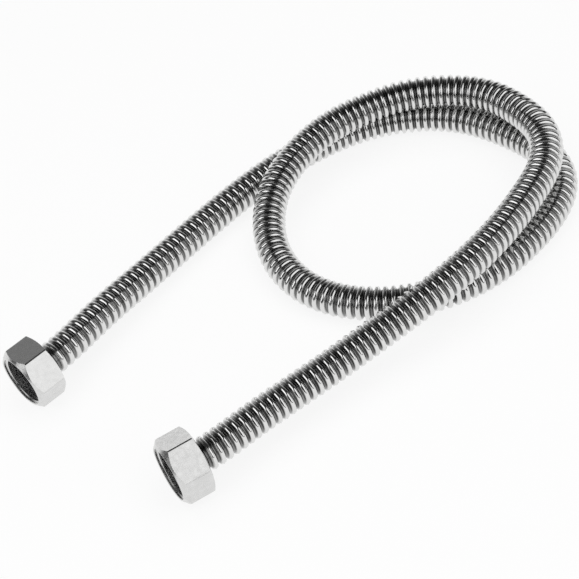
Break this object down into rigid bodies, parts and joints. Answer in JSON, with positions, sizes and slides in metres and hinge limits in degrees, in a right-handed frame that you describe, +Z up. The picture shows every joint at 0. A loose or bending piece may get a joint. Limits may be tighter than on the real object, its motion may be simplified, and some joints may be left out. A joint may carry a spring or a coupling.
{
  "type": "corrugated metal gas hose",
  "caption": "Flexible corrugated metal hose lying in a loop, with a loose hexagonal union nut and a flat gasket at each end.",
  "frame": {"origin": "on the floor under the middle of the hose as it lies", "axes": "+Z up; +X along the longer side of the loop, away from the two nuts; +Y to the loop's far side"},
  "size_m": [0.3088, 0.2436, 0.0368],
  "materials": {
    "corrugated_steel": "bright drawn stainless steel",
    "nut_nickel": "satin nickel plate",
    "gasket_fibre": "matt dark grey sealing fibre"
  },
  "bodies": {
    "hose": {"corrugated_hose": "corrugated_steel", "front_gasket": "gasket_fibre", "rear_gasket": "gasket_fibre"},
    "front_nut": {"front_union_nut": "nut_nickel"},
    "rear_nut": {"rear_union_nut": "nut_nickel"}
  },
  "joints": [
    {"name": "front_nut_spin", "type": "hinge", "parent": "hose", "child": "front_nut", "pos_m": [-0.065, -0.102, 0.01719], "axis": [-0.9304, -0.3665, 0], "continuous": true},
    {"name": "rear_nut_spin", "type": "hinge", "parent": "hose", "child": "rear_nut", "pos_m": [-0.133, -0.0185, 0.01582], "axis": [-0.83, -0.5577, 0], "continuous": true}
  ]
}
